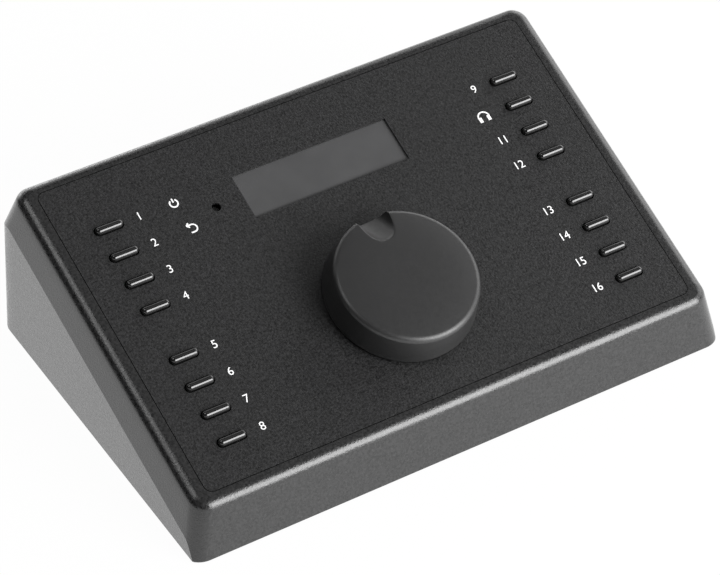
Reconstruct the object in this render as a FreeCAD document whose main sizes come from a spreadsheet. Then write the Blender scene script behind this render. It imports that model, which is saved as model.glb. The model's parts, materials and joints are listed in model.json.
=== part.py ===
import FreeCAD
import Part
import Sketcher
import math
import os

doc = FreeCAD.newDocument("monitor_controller")
vec = FreeCAD.Vector

# Driving dimensions in millimetres, angles in degrees.
# World frame: x to the right, y to the back, z up, table at z = 0.
# Panel frame: u to the right, v up the slope, n out of the panel, origin under the knob.
driving = [
    ("slope", 19.26, "tilt of the operating panel"),
    ("knob_back", -19.1, "y of the knob axis on the panel surface"),
    ("knob_up", 32.5, "height of the knob axis on the panel surface"),
    ("rear_reach", 61.5, "y of the upright rear face"),
    ("edge_half", 94.25, "half width of the top outline"),
    ("side_spread", 3.15, "how far a side stands out between the top outline and its crease"),
    ("lean", 13.82, "angle of the leaning walls from upright"),
    ("edge_front", 40.1, "knob axis to the front edge of the top outline"),
    ("rear_spread", 4.606, "top outline's rear edge to the upright rear face"),
    ("edge_drop", 12.1, "depth of the side crease below the panel"),
    ("rim_round", 4.3, "rounding of the top edge"),
    ("corner_round", 6.0, "rounding of the upright corners"),
    ("lift", 0.8, "lower edge of the housing above the table"),
    ("wall", 2.6, "side wall of the housing"),
    ("top_wall", 2.4, "housing wall under the face plate"),
    ("rear_wall", 2.4, "housing wall in front of the rear panel"),
    ("plate_edge", 5.35, "top outline to the face plate, at the sides"),
    ("plate_edge_front", 3.7, "top outline to the face plate, at the front"),
    ("plate_edge_back", 5.3, "top outline to the face plate, at the rear"),
    ("plate_thick", 0.8, "thickness of the face plate"),
    ("plate_round", 2.6, "corner radius of the face plate"),
    ("plate_gap", 0.25, "joint line round the face plate"),
    ("key_inset", 15.6, "side of the face plate to a key column"),
    ("key_row_inset", 19.1, "rear edge of the face plate to the uppermost key"),
    ("key_step", 48.9, "first key of the upper four to the first of the lower four"),
    ("key_pitch", 10.16, "pitch of the keys"),
    ("key_length", 10.0, "length of a key cap"),
    ("key_width", 3.0, "width of a key cap"),
    ("key_stand", 1.1, "key cap above the panel"),
    ("key_slant", 0.75, "slant round the crown of a key cap"),
    ("key_gap", 0.2, "gap round a key cap"),
    ("key_lip", 0.8, "overhang of the key flange"),
    ("key_flange", 0.8, "thickness of the key flange"),
    ("key_travel", 0.5, "travel of a key"),
    ("seat_gap", 0.1, "clearance between a moving face and its stop"),
    ("switch_side", 6.0, "side of a key switch"),
    ("switch_high", 2.6, "height of a key switch body"),
    ("button_side", 3.0, "side of the square switch button"),
    ("view_half", 28.5, "half width of the display opening"),
    ("view_inset", 17.4, "rear edge of the face plate to the display opening"),
    ("view_tall", 16.1, "display opening, up the slope"),
    ("pane_lip", 2.0, "hidden edge of the display window"),
    ("module_lip", 4.5, "display board beyond the display opening"),
    ("pane_thick", 1.2, "thickness of the display window"),
    ("glass_thick", 1.6, "thickness of the display glass"),
    ("board_thick", 1.6, "thickness of a circuit board"),
    ("hole_beside", 9.8, "display opening to the sensor hole, to the left"),
    ("hole_bore", 1.5, "radius of the sensor hole"),
    ("knob_base", 24.8, "radius of the knob at its foot"),
    ("knob_top", 23.0, "radius of the knob at its top"),
    ("knob_high", 13.3, "top of the knob above the panel"),
    ("knob_clear", 1.0, "gap under the knob"),
    ("knob_edge", 2.2, "rounding of the knob's top edge"),
    ("knob_skin", 2.4, "wall of the knob"),
    ("hub_round", 5.6, "radius of the knob hub"),
    ("notch_round", 6.6, "radius of the finger notch"),
    ("notch_out", 19.4, "knob axis to the centre of the finger notch"),
    ("notch_above", 2.1, "centre of the finger notch above the knob top"),
    ("shaft_round", 3.0, "radius of the encoder shaft"),
    ("shaft_flat", 1.5, "depth of the flat on the shaft"),
    ("fit_gap", 0.05, "radial running clearance of the shaft"),
    ("bush_round", 4.5, "radius of the encoder bush"),
    ("bush_high", 4.2, "encoder bush above the panel"),
    ("coder_side", 13.0, "side of the encoder body"),
    ("push_travel", 0.5, "travel of the pushed knob"),
    ("plunger_thick", 0.9, "thickness of the encoder plunger"),
    ("washer_thick", 0.5, "thickness of the encoder washer"),
    ("washer_round", 7.0, "radius of the encoder washer"),
    ("nut_thick", 2.0, "thickness of the encoder nut"),
    ("nut_round", 6.6, "corner radius of the encoder nut"),
    ("coder_floor", 0.6, "closed floor of the encoder bore"),
    ("board_inset", 8.9, "face plate to the control board, at the sides"),
    ("board_inset_front", 3.4, "face plate to the control board, at the front"),
    ("board_inset_back", 5.2, "face plate to the control board, at the rear"),
    ("board_drop", 8.0, "top of the control board below the panel"),
    ("post_round", 3.0, "radius of a screw post on the panel"),
    ("post_inset", 34.0, "side of the control board to a screw post"),
    ("post_edge", 5.0, "front or rear edge of the control board to a screw post"),
    ("screw_round", 1.25, "radius of a screw shank"),
    ("screw_head", 2.6, "radius of a screw head"),
    ("head_high", 1.6, "height of a screw head"),
    ("thread_gap", 0.05, "clearance round a screw shank"),
    ("main_inset", 21.4, "side of the base to the main board"),
    ("main_gap", 1.2, "rear wall to the main board"),
    ("main_deep", 60.4, "main board, front to rear"),
    ("main_up", 11.0, "top of the main board above the table"),
    ("stand_edge", 4.0, "edges of the main board to the standoffs"),
    ("stand_clear", 3.6, "jack bodies to the rear standoffs"),
    ("stand_round", 2.8, "corner radius of a hexagonal standoff"),
    ("stand_floor", 1.0, "closed floor of a standoff"),
    ("base_thick", 1.2, "thickness of the base plate"),
    ("base_gap", 0.3, "gap round the base plate"),
    ("column_inset", 8.0, "side of the base to a base screw"),
    ("column_inset_front", 11.0, "front base line to the front base screws"),
    ("column_inset_back", 17.5, "rear face to the rear base screws"),
    ("column_round", 3.6, "radius of a base screw column"),
    ("column_deep", 8.0, "depth of a base screw hole"),
    ("foot_round", 6.5, "radius of a rubber foot"),
    ("foot_side_inset", 19.4, "side of the base to a rubber foot"),
    ("foot_end_inset", 15.5, "front or rear base line to a rubber foot"),
    ("foot_inset", 0.8, "base plate above the lower edge of the housing"),
    ("rear_inset", 11.9, "side of the base to the rear panel"),
    ("rear_low", 3.9, "lower edge of the rear panel"),
    ("rear_tall", 35.1, "height of the rear panel"),
    ("rear_sink", 5.5, "rear face of the housing to the rear panel's seat"),
    ("rear_thick", 1.5, "thickness of the rear panel"),
    ("rear_gap", 0.2, "gap round the rear panel"),
    ("rear_shelf", 3.0, "seat of the rear panel above and below its window"),
    ("rear_shelf_side", 6.5, "seat of the rear panel beside its window"),
    ("rear_screw_side", 3.3, "side of the rear panel to its screws"),
    ("rear_screw_edge", 5.5, "lower or upper edge of the rear panel to its screws"),
    ("socket_end", 20.5, "side of the rear panel to the outermost socket"),
    ("body_gap", 1.0, "rear panel's seat to the socket bodies"),
    ("jack_rise", 11.0, "jack axes above the main board"),
    ("jack_bore", 3.2, "radius of a jack bore"),
    ("jack_deep", 30.0, "depth of a jack bore"),
    ("jack_bush", 5.8, "radius of a jack bush"),
    ("jack_out", 4.6, "rear panel's seat to the mouth of a jack"),
    ("jack_half", 8.0, "half width of a jack body"),
    ("jack_end", 3.0, "closed end of a jack body"),
    ("jack_nut", 8.2, "corner radius of a jack nut"),
    ("jack_nut_thick", 2.2, "thickness of a jack nut"),
    ("socket_out", 2.2, "rear panel's seat to the mouths of the other sockets"),
    ("cutout_gap", 0.25, "gap round a socket in the rear panel"),
    ("usb_wide", 12.0, "width of the USB socket"),
    ("usb_high", 10.6, "height of the USB socket"),
    ("usb_deep", 16.0, "length of the USB socket"),
    ("usb_mouth_wide", 8.6, "width of the USB mouth"),
    ("usb_mouth_high", 7.8, "height of the USB mouth"),
    ("usb_mouth_deep", 10.0, "depth of the USB mouth"),
    ("tongue_wide", 5.6, "width of the USB tongue"),
    ("tongue_high", 3.2, "height of the USB tongue"),
    ("tongue_long", 8.4, "length of the USB tongue"),
    ("net_wide", 16.0, "width of a network socket"),
    ("net_high", 13.4, "height of a network socket"),
    ("net_deep", 21.0, "length of a network socket"),
    ("net_mouth_wide", 12.0, "width of a network mouth"),
    ("net_mouth_high", 8.0, "height of a network mouth"),
    ("net_mouth_deep", 12.0, "depth of a network mouth"),
    ("power_rise", 6.0, "power socket axis above the main board"),
    ("power_bore", 3.2, "radius of the power socket bore"),
    ("power_wall", 1.5, "wall round the power socket bore"),
    ("power_deep", 9.5, "depth of the power socket bore"),
    ("power_pin", 1.0, "radius of the power socket pin"),
    ("power_long", 12.0, "length of the power socket body"),
]

dim = doc.addObject("Spreadsheet::Sheet", "dim")
for row, (alias, amount, meaning) in enumerate(driving, start=1):
    dim.set("A%d" % row, meaning)
    dim.set("B%d" % row, str(amount))
    dim.setAlias("B%d" % row, alias)
doc.recompute()

sinSlope = "sin(dim.slope * 1deg)"
cosSlope = "cos(dim.slope * 1deg)"
tanSlope = "tan(dim.slope * 1deg)"


def number(rule):
    """Value of a sheet rule as a plain number."""
    found = dim.evalExpression(str(rule))
    return float(getattr(found, "Value", found))


def bind(thing, prop, rule):
    """Ties a property to a rule on the sheet."""
    thing.setExpression(prop, str(rule))


def place(thing, x=0, y=0, z=0):
    for axis, rule in (("x", x), ("y", y), ("z", z)):
        bind(thing, "Placement.Base." + axis, rule)
    return thing


def box(name, length, width, height, x=0, y=0, z=0):
    """Block whose low corner lies at x, y, z."""
    block = doc.addObject("Part::Box", name)
    for prop, rule in (("Length", length), ("Width", width), ("Height", height)):
        bind(block, prop, rule)
    return place(block, x, y, z)


def slab(name, half, low, high, bottom, top):
    """Block centred in x, from low to high in y and from bottom to top in z."""
    return box(name, f"2 * ({half})", f"({high}) - ({low})", f"({top}) - ({bottom})",
               f"-({half})", low, bottom)


def rod(name, radius, height, x=0, y=0, z=0):
    """Upright cylinder that stands on x, y, z."""
    turned = doc.addObject("Part::Cylinder", name)
    bind(turned, "Radius", radius)
    bind(turned, "Height", height)
    return place(turned, x, y, z)


def rod_back(name, radius, height, x, y, z):
    """Level cylinder that runs to the back from x, y, z."""
    turned = rod(name, radius, height, x, y, z)
    turned.Placement.Rotation = FreeCAD.Rotation(vec(1, 0, 0), -90)
    return turned


def fuse(name, parts):
    joined = doc.addObject("Part::MultiFuse", name)
    joined.Shapes = parts
    return joined


def cut(name, base, tool):
    left = doc.addObject("Part::Cut", name)
    left.Base = base
    left.Tool = tool
    return left


def common(name, first, second):
    shared = doc.addObject("Part::Common", name)
    shared.Base = first
    shared.Tool = second
    return shared


def group(name, parts):
    """Several separate solids that share one node."""
    held = doc.addObject("Part::Compound", name)
    held.Links = parts
    return held


def rounded(name, base, radius, wanted):
    """Rounds every edge of base for which wanted(edge) is true."""
    doc.recompute()
    size = number(radius)
    picked = [(index, size, size) for index, edge in enumerate(base.Shape.Edges, start=1)
              if wanted(edge)]
    soft = doc.addObject("Part::Fillet", name)
    soft.Base = base
    soft.Edges = picked
    return soft


def on_panel(thing, u="0", v="0"):
    """Tilts a piece drawn in the panel frame and sets it at u, v on the panel."""
    if thing.TypeId in ("Part::Box", "Part::Cylinder"):
        thing = group(thing.Name + "_seated", [thing])
    thing.Placement = FreeCAD.Placement(vec(0, 0, 0), FreeCAD.Rotation(vec(1, 0, 0), 10))
    bind(thing, "Placement.Rotation.Angle", "dim.slope")
    return place(thing, u, f"dim.knob_back + ({v}) * {cosSlope}",
                 f"dim.knob_up + ({v}) * {sinSlope}")


def outline(sketch, corners):
    """Closed polygon whose corners are pairs of sheet rules."""
    spots = [vec(number(x), number(y), 0) for x, y in corners]
    for index, spot in enumerate(spots):
        sketch.addGeometry(Part.LineSegment(spot, spots[(index + 1) % len(spots)]), False)
    for index, (x, y) in enumerate(corners):
        after = (index + 1) % len(spots)
        sketch.addConstraint(Sketcher.Constraint("Coincident", index, 2, after, 1))
        for kind, axis, rule in (("DistanceX", -2, x), ("DistanceY", -1, y)):
            if abs(number(rule)) < 1e-9:
                sketch.addConstraint(Sketcher.Constraint("PointOnObject", index, 1, axis))
                continue
            made = sketch.addConstraint(
                Sketcher.Constraint(kind, -1, 1, index, 1, number(rule)))
            bind(sketch, "Constraints[%d]" % made, rule)


def origin_plane(body, role):
    return [item for item in body.Origin.OriginFeatures if item.Role == role][0]


def sketch_on(body, name, role, height=None):
    sketch = body.newObject("Sketcher::SketchObject", name)
    sketch.AttachmentSupport = (origin_plane(body, role), [""])
    sketch.MapMode = "FlatFace"
    if height is not None:
        bind(sketch, "AttachmentOffset.Base.z", height)
    return sketch


def obround(sketch, length, width):
    """Slot shape about the origin: two half circles joined by two lines."""
    reach = f"(({length}) - ({width})) / 2"
    centre = number(reach)
    radius = number(f"({width}) / 2")
    upright = vec(0, 0, 1)
    right = Part.Circle(vec(centre, 0, 0), upright, radius)
    left = Part.Circle(vec(-centre, 0, 0), upright, radius)
    sketch.addGeometry(Part.ArcOfCircle(right, -math.pi / 2, math.pi / 2), False)
    sketch.addGeometry(Part.LineSegment(vec(centre, radius, 0), vec(-centre, radius, 0)), False)
    sketch.addGeometry(Part.ArcOfCircle(left, math.pi / 2, 3 * math.pi / 2), False)
    sketch.addGeometry(Part.LineSegment(vec(-centre, -radius, 0), vec(centre, -radius, 0)), False)
    for first, second in ((0, 1), (1, 2), (2, 3), (3, 0)):
        sketch.addConstraint(Sketcher.Constraint("Tangent", first, 2, second, 1))
    sketch.addConstraint(Sketcher.Constraint("PointOnObject", 0, 3, -1))
    sketch.addConstraint(Sketcher.Constraint("PointOnObject", 2, 3, -1))
    sketch.addConstraint(Sketcher.Constraint("Equal", 0, 2))
    bound = sketch.addConstraint(Sketcher.Constraint("DistanceX", -1, 1, 0, 3, centre))
    bind(sketch, "Constraints[%d]" % bound, reach)
    bound = sketch.addConstraint(Sketcher.Constraint("DistanceX", 2, 3, -1, 1, centre))
    bind(sketch, "Constraints[%d]" % bound, reach)
    bound = sketch.addConstraint(Sketcher.Constraint("Radius", 0, radius))
    bind(sketch, "Constraints[%d]" % bound, f"({width}) / 2")


def pad(body, name, sketch, length):
    grown = body.newObject("PartDesign::Pad", name)
    grown.Profile = sketch
    bind(grown, "Length", length)
    return grown


nodes = {}


def keep(node, thing):
    thing.Label = node
    nodes[node] = thing
    return thing


# Lines that several pieces share, as sheet rules.
edgeBack = f"((dim.rear_reach - dim.rear_spread - dim.knob_back) / {cosSlope})"
baseHalf = "(dim.edge_half + dim.side_spread)"
plateHalf = "(dim.edge_half - dim.plate_edge)"
plateFront = "(dim.plate_edge_front - dim.edge_front)"
plateBack = f"({edgeBack} - dim.plate_edge_back)"
keyColumn = f"({plateHalf} - dim.key_inset)"
keyRow = f"({plateBack} - dim.key_row_inset)"
viewHigh = f"({plateBack} - dim.view_inset)"
viewLow = f"({viewHigh} - dim.view_tall)"
holeSide = "(-dim.view_half - dim.hole_beside)"
holeUp = f"({viewHigh} - dim.view_tall / 2)"
rearSeat = "(dim.rear_reach - dim.rear_sink)"
rearInner = f"({rearSeat} - dim.rear_wall)"
screwBore = "(dim.screw_round + dim.thread_gap)"


def key_spots():
    """Two columns of four upper and four lower keys."""
    spots = []
    for side in (-1, 1):
        for count in range(8):
            start = keyRow if count < 4 else f"{keyRow} - dim.key_step"
            spots.append((f"{side} * {keyColumn}", f"{start} - {count % 4} * dim.key_pitch"))
    return spots


def slots(tag, straight, bottom, top):
    """Openings for all keys, of the given straight length, from bottom to top."""
    wide = "(dim.key_width + 2 * dim.key_gap)"
    return [box("%s_slot_%02d" % (tag, index), straight, wide, f"({top}) - ({bottom})",
                f"{u} - {straight} / 2", f"{v} - {wide} / 2", bottom)
            for index, (u, v) in enumerate(key_spots(), start=1)]


def slot_ends(tag, straight, bottom, top):
    """Half round ends for the openings of the same straight length."""
    return [rod("%s_end_%02d" % (tag, index), "dim.key_width / 2 + dim.key_gap",
                f"({top}) - ({bottom})", f"{u} + {end} * {straight} / 2", v, bottom)
            for index, (u, v) in enumerate(key_spots(), start=1) for end in (-1, 1)]


# Outer form of the housing: leaning walls that start at the top outline, taken in by an
# upright block, so that a crease runs down each side parallel to the panel.
frontTopY = f"(dim.knob_back - dim.edge_front * {cosSlope})"
frontTopZ = f"(dim.knob_up - dim.edge_front * {sinSlope})"
backTopY = "(dim.rear_reach - dim.rear_spread)"
backTopZ = f"(dim.knob_up + {edgeBack} * {sinSlope})"
leanRate = "tan(dim.lean * 1deg)"
frontBaseY = f"({frontTopY} - {leanRate} * ({frontTopZ} - dim.lift))"
sideRate = "(dim.side_spread / dim.edge_drop)"


def leaning_block(tag, inset, roof, back_y):
    """Prism with leaning front and back, the given roof depth, then cut by leaning sides."""
    shift = f"({inset}) * sqrt(1 + {leanRate} * {leanRate})"
    low = "dim.lift"
    # the roof line is z = roofZ + (y - knob_back) * tan(slope)
    roofZ = f"(dim.knob_up - ({roof}) / {cosSlope})"
    front = f"({frontBaseY} + {shift})"
    frontHigh = (f"(({roofZ} + ({front} - {low} * {leanRate} - dim.knob_back) * {tanSlope})"
                 f" / (1 - {leanRate} * {tanSlope}))")
    if back_y is None:
        rearTop = (backTopY, backTopZ)
        rearLow = (f"{backTopY} + ({backTopZ} - {low}) * {leanRate}", low)
    else:
        rearTop = (back_y, f"{roofZ} + ({back_y} - dim.knob_back) * {tanSlope}")
        rearLow = (back_y, low)
    sketch = doc.addObject("Sketcher::SketchObject", tag + "_side")
    sketch.Placement = FreeCAD.Placement(vec(0, 0, 0), FreeCAD.Rotation(vec(1, 1, 1), 120))
    outline(sketch, [(front, low),
                     rearLow,
                     rearTop,
                     (f"{front} + ({frontHigh} - {low}) * {leanRate}", frontHigh)])
    doc.recompute()
    prism = doc.addObject("Part::Extrusion", tag + "_prism")
    prism.Base = sketch
    prism.DirMode = "Custom"
    prism.Dir = vec(1, 0, 0)
    prism.Solid = True
    prism.Symmetric = True
    bind(prism, "LengthFwd", f"3 * {baseHalf}")
    # blocks outside the leaning sides, drawn in the panel frame
    lean = math.degrees(math.atan(number(sideRate)))
    tilt = FreeCAD.Rotation(vec(1, 0, 0), number("dim.slope"))
    foot = vec(0, number("dim.knob_back"), number("dim.knob_up"))
    reach = 2 * number(baseHalf)
    tools = []
    for side in (-1, 1):
        block = doc.addObject("Part::Box", tag + "_flank")
        block.Length = reach
        block.Width = 2 * reach
        block.Height = 2 * reach
        edge = number("dim.edge_half") - number(inset) / math.cos(math.radians(lean))
        turn = FreeCAD.Rotation(vec(0, 1, 0), -side * lean)
        near = 0 if side > 0 else -reach
        local = FreeCAD.Placement(vec(side * edge, 0, 0), turn)
        corner = FreeCAD.Placement(vec(near, -reach, -reach), FreeCAD.Rotation())
        block.Placement = FreeCAD.Placement(foot, tilt).multiply(local).multiply(corner)
        tools.append(block)
    return cut(tag + "_leaning", prism, fuse(tag + "_flanks", tools))


def steep(edge):
    """True for an edge that climbs: the four corners of the leaning block."""
    rise = edge.lastVertex().Point - edge.firstVertex().Point
    return abs(rise.z) > 0.85 * rise.Length


def on_roof(depth):
    """Test for edges that lie in the panel plane, depth below it."""
    normal = FreeCAD.Rotation(vec(1, 0, 0), number("dim.slope")).multVec(vec(0, 0, 1))
    foot = vec(0, number("dim.knob_back"), number("dim.knob_up"))

    def wanted(edge):
        ends = [vertex.Point for vertex in edge.Vertexes]
        return all(abs((point - foot).dot(normal) + depth) < 0.01 for point in ends)

    return wanted


outerBlock = leaning_block("outer", "0", "0", None)
outerCorners = rounded("outer_corners", outerBlock, "dim.corner_round", steep)
outerRim = rounded("outer_rim", outerCorners, "dim.rim_round", on_roof(0))
upright = slab("upright", baseHalf, "-2 * dim.rear_reach", "dim.rear_reach",
               "dim.lift", "2 * dim.knob_up + dim.rear_reach")
uprightCorners = rounded("upright_corners", upright, "dim.corner_round",
                         lambda edge: steep(edge) and edge.CenterOfMass.y > 0)
outerForm = common("outer_form", outerRim, uprightCorners)

innerRound = "(dim.corner_round - dim.wall)"
innerBlock = leaning_block("inner", "dim.wall", "dim.plate_thick + dim.top_wall", rearInner)
innerCorners = rounded("inner_corners", innerBlock, innerRound, steep)
innerUpright = slab("inner_upright", f"{baseHalf} - dim.wall", "-2 * dim.rear_reach",
                    rearInner, "dim.lift", "2 * dim.knob_up + dim.rear_reach")
innerForm = common("inner_form", innerCorners, innerUpright)

# Recess and openings in the panel.
recess = rounded("plate_recess",
                 slab("plate_recess_block", f"{plateHalf} + dim.plate_gap",
                      f"{plateFront} - dim.plate_gap", f"{plateBack} + dim.plate_gap",
                      "-dim.plate_thick", "dim.rim_round"),
                 "dim.plate_round + dim.plate_gap", steep)
through = "-dim.plate_thick - dim.top_wall - dim.wall"
throughHigh = f"dim.rim_round - ({through})"
openings = [recess] + slots("housing", "(dim.key_length + 2 * dim.key_gap)", through,
                            "dim.rim_round")
openings.append(slab("view_opening", "dim.view_half", viewLow, viewHigh, through,
                     "dim.rim_round"))
openings.append(slab("pane_rebate", "dim.view_half + dim.pane_lip + dim.plate_gap",
                     f"{viewLow} - dim.pane_lip - dim.plate_gap",
                     f"{viewHigh} + dim.pane_lip + dim.plate_gap",
                     "-dim.plate_thick - dim.pane_thick", "dim.rim_round"))
openings.append(rod("sensor_opening", "dim.hole_bore", throughHigh, holeSide, holeUp, through))
openings.append(rod("bush_opening", "dim.bush_round + dim.key_gap", throughHigh, 0, 0, through))
panelOpenings = on_panel(fuse("panel_openings", openings))

# Window and seat for the rear panel.
rearHalf = f"({baseHalf} - dim.rear_inset)"
rearHigh = "(dim.rear_low + dim.rear_tall)"
rearWindow = slab("rear_window", f"{rearHalf} - dim.rear_shelf_side", f"{rearInner} - dim.wall",
                  "2 * dim.rear_reach", "dim.rear_low + dim.rear_shelf",
                  f"{rearHigh} - dim.rear_shelf")
rearRebate = slab("rear_rebate", f"{rearHalf} + dim.rear_gap", rearSeat,
                  "2 * dim.rear_reach", "dim.rear_low - dim.rear_gap",
                  f"{rearHigh} + dim.rear_gap")
rearSpots = [(f"{side} * ({rearHalf} - dim.rear_screw_side)", z) for side in (-1, 1)
             for z in ("dim.rear_low + dim.rear_screw_edge", f"{rearHigh} - dim.rear_screw_edge")]
rearHoles = [rod_back("rear_screw_hole", screwBore, "2 * dim.wall + dim.rear_wall", x,
                      f"{rearInner} - dim.wall", z) for x, z in rearSpots]
hollow = fuse("housing_hollow",
              [innerForm, rearWindow, rearRebate, panelOpenings] + rearHoles)
shell = cut("housing_shell", outerForm, hollow)

# Screw posts that hang from the panel, and columns for the base screws.
boardHalf = f"({plateHalf} - dim.board_inset)"
boardLow = f"({plateFront} + dim.board_inset_front)"
boardHigh = f"({plateBack} - dim.board_inset_back)"
postSpots = [(f"{side} * ({boardHalf} - dim.post_inset)", v) for side in (-1, 1)
             for v in (f"{boardLow} + dim.post_edge", f"{boardHigh} - dim.post_edge")]
roofDepth = "(dim.plate_thick + dim.top_wall)"
postHigh = f"(dim.board_drop - {roofDepth})"
postRods = [rod("panel_post", "dim.post_round", f"{postHigh} + dim.top_wall / 2",
                u, v, "-dim.board_drop") for u, v in postSpots]
postBores = [rod("panel_post_bore", screwBore, f"0.95 * {postHigh}", u, v, "-dim.board_drop")
             for u, v in postSpots]
posts = on_panel(cut("panel_posts", fuse("panel_post_rods", postRods),
                     fuse("panel_post_bores", postBores)))
columnSpots = [(f"{side} * ({baseHalf} - dim.column_inset)", y) for side in (-1, 1)
               for y in (f"{frontBaseY} + dim.column_inset_front",
                         "dim.rear_reach - dim.column_inset_back")]
columnFoot = "(dim.lift + dim.foot_inset + dim.base_thick)"
columnRods = [rod("base_column", "dim.column_round", "3 * dim.knob_up", x, y, columnFoot)
              for x, y in columnSpots]
columnBores = [rod("base_column_bore", screwBore, "dim.column_deep", x, y, columnFoot)
               for x, y in columnSpots]
columnForm = leaning_block("column_form", "dim.wall / 2", "dim.plate_thick + dim.top_wall / 2",
                           f"{rearInner} + dim.wall / 2")
columns = cut("base_columns", common("base_column_tops", fuse("base_column_rods", columnRods),
                                     columnForm), fuse("base_column_bores", columnBores))
keep("housing", fuse("housing_joined", [shell, posts, columns]))

# Face plate: thin sheet in the recess, with the key, display, sensor and encoder openings.
plate = rounded("plate_rounded",
                slab("plate_block", plateHalf, plateFront, plateBack, "-dim.plate_thick", "0"),
                "dim.plate_round", steep)
slotStraight = "(dim.key_length - dim.key_width)"
plateFoot = "-2 * dim.plate_thick"
plateCuts = slots("plate", slotStraight, plateFoot, "dim.plate_thick")
plateCuts += slot_ends("plate", slotStraight, plateFoot, "dim.plate_thick")
plateCuts.append(slab("plate_view", "dim.view_half", viewLow, viewHigh, plateFoot,
                      "dim.plate_thick"))
plateCuts.append(rod("plate_hole", "dim.hole_bore", "3 * dim.plate_thick", holeSide, holeUp,
                     plateFoot))
plateCuts.append(rod("plate_bush", "dim.bush_round + dim.key_gap", "3 * dim.plate_thick",
                     0, 0, plateFoot))
keep("face_plate", on_panel(cut("plate_cut", plate, fuse("plate_openings", plateCuts))))

# Display: window in its rebate, glass against the panel wall, board and frame behind.


def behind_view(name, lip, bottom, top):
    """Plate in the panel frame that covers the display opening and a lip round it."""
    return slab(name, f"dim.view_half + {lip}", f"{viewLow} - {lip}", f"{viewHigh} + {lip}",
                bottom, top)


paneTop = "(-dim.plate_thick)"
keep("display_window", on_panel(behind_view(
    "pane", "dim.pane_lip", f"{paneTop} - dim.pane_thick", paneTop)))
glassTop = f"(-{roofDepth} - dim.seat_gap)"
moduleTop = f"({glassTop} - dim.glass_thick)"
keep("display_glass", on_panel(behind_view("glass", "dim.pane_lip", moduleTop, glassTop)))
frameTop = f"({moduleTop} - dim.board_thick)"
keep("display_board", on_panel(behind_view("display_back", "dim.module_lip", frameTop, moduleTop)))
frameOuter = behind_view("display_frame_outer", "dim.module_lip", "-dim.board_drop", frameTop)
frameInner = behind_view("display_frame_inner", "0", "-2 * dim.board_drop", "0")
keep("display_frame", on_panel(cut("display_frame_ring", frameOuter, frameInner)))

# Sensor behind its hole: a square can on the control board with a lens that looks out.
sensorHalf = "(1.6 * dim.hole_bore)"
sensorTop = f"(-{roofDepth} - dim.seat_gap)"
sensorCan = box("sensor_can", f"2 * {sensorHalf}", f"2 * {sensorHalf}",
                f"{sensorTop} + dim.board_drop", f"{holeSide} - {sensorHalf}",
                f"{holeUp} - {sensorHalf}", "-dim.board_drop")
sensorLens = rod("sensor_lens", "0.8 * dim.hole_bore", "dim.top_wall / 2 + dim.seat_gap",
                 holeSide, holeUp, sensorTop)
keep("light_sensor", on_panel(fuse("sensor_joined", [sensorCan, sensorLens])))

# Control board under the panel, with its screws.
boardBlock = slab("control_board_block", boardHalf, boardLow, boardHigh,
                  "-dim.board_drop - dim.board_thick", "-dim.board_drop")
boardHoles = fuse("control_board_holes", [
    rod("control_board_hole", screwBore, "4 * dim.board_thick", u, v,
        "-dim.board_drop - 2 * dim.board_thick") for u, v in postSpots])
keep("control_board", on_panel(cut("control_board_cut", boardBlock, boardHoles)))
screwParts = []
for u, v in postSpots:
    head = rod("control_screw_head", "dim.screw_head", "dim.head_high", u, v,
               "-dim.board_drop - dim.board_thick - dim.head_high")
    shank = rod("control_screw_shank", "dim.screw_round",
                f"dim.board_thick + 0.8 * (dim.board_drop - {roofDepth})", u, v,
                "-dim.board_drop - dim.board_thick")
    screwParts.append(fuse("control_screw", [head, shank]))
keep("control_board_screws", on_panel(group("control_screws", screwParts)))

# Key caps and the switches under them.
flangeTop = f"(-{roofDepth} - dim.seat_gap)"
keyFoot = f"({flangeTop} - dim.key_flange)"
buttonTop = f"({keyFoot} - dim.key_travel - dim.seat_gap)"


def top_edges(shape, height):
    return ["Edge%d" % index for index, edge in enumerate(shape.Edges, start=1)
            if all(abs(vertex.Point.z - height) < 0.001 for vertex in edge.Vertexes)]


def key_cap(index, u, v):
    """Obround cap with a slanted crown and a flange that stops under the panel wall."""
    node = "key_%02d" % index
    body = doc.addObject("PartDesign::Body", node + "_body")
    flange = sketch_on(body, node + "_flange_shape", "XY_Plane", keyFoot)
    outline(flange, [(f"{x} * (dim.key_length / 2 + dim.key_lip)",
                      f"{y} * (dim.key_width / 2 + dim.key_lip)")
                     for x, y in ((-1, -1), (1, -1), (1, 1), (-1, 1))])
    pad(body, node + "_flange", flange, "dim.key_flange")
    crown = sketch_on(body, node + "_crown_shape", "XY_Plane", keyFoot)
    obround(crown, "dim.key_length", "dim.key_width")
    risen = pad(body, node + "_crown", crown, f"dim.key_stand - {keyFoot}")
    doc.recompute()
    soft = body.newObject("PartDesign::Chamfer", node + "_slant")
    soft.Base = (risen, top_edges(risen.Shape, number("dim.key_stand")))
    bind(soft, "Size", "dim.key_slant")
    keep(node, on_panel(body, u, v))


switchParts = []
for index, (u, v) in enumerate(key_spots(), start=1):
    key_cap(index, u, v)
    can = box("switch_can", "dim.switch_side", "dim.switch_side", "dim.switch_high",
              f"{u} - dim.switch_side / 2", f"{v} - dim.switch_side / 2", "-dim.board_drop")
    button = box("switch_button", "dim.button_side", "dim.button_side",
                 f"{buttonTop} + dim.board_drop", f"{u} - dim.button_side / 2",
                 f"{v} - dim.button_side / 2", "-dim.board_drop")
    switchParts.append(fuse("switch", [can, button]))
keep("key_switches", on_panel(group("switches", switchParts)))

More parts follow.
